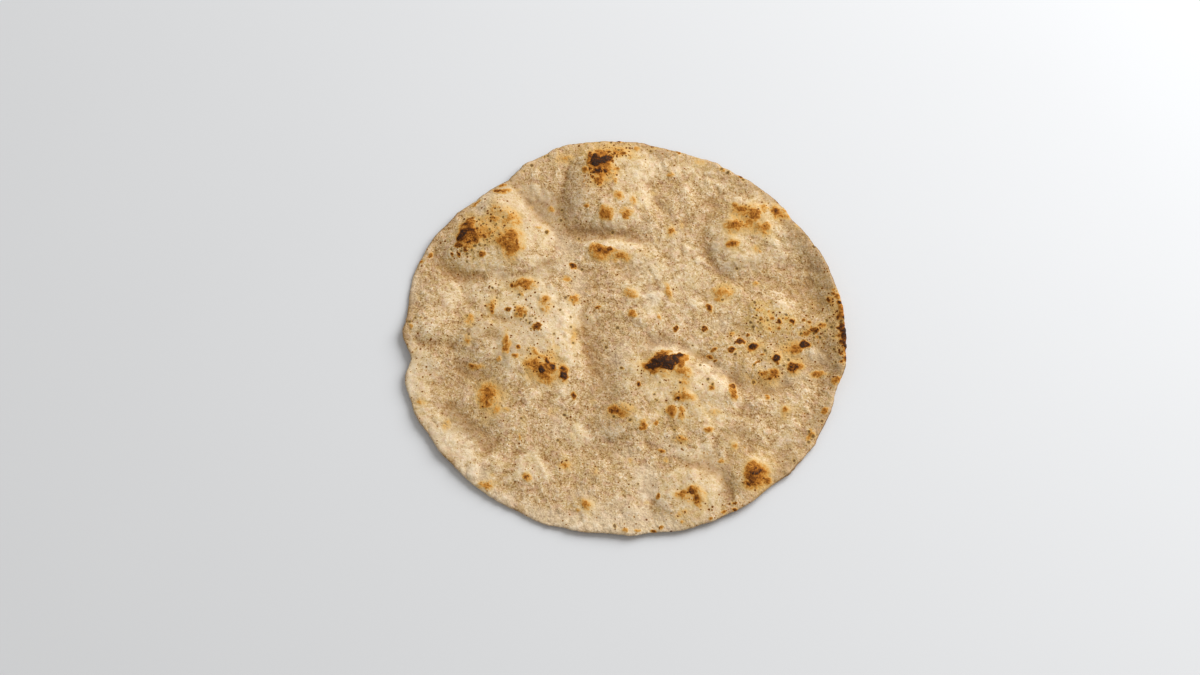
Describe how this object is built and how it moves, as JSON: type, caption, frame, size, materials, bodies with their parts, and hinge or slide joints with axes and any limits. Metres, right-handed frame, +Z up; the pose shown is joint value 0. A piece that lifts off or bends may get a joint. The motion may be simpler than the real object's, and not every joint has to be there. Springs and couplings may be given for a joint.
{
  "type": "chapati",
  "caption": "Round, thin, unleavened flatbread with low blisters, a long fold and toasted spots, as it lies on a flat surface.",
  "frame": {"origin": "middle of the bread's box in plan, on the surface that the bread rests on", "axes": "+Z up, through the bread's thickness; +X to the picture's right; +Y away from the viewer"},
  "size_m": [0.1994, 0.2008, 0.0086],
  "materials": {
    "bread": "Dry, matt, pale wheat crust with fine bran specks, light brown toasted spots and a few dark charred ones"
  },
  "bodies": {
    "root": {"chapati": "bread"}
  },
  "joints": []
}
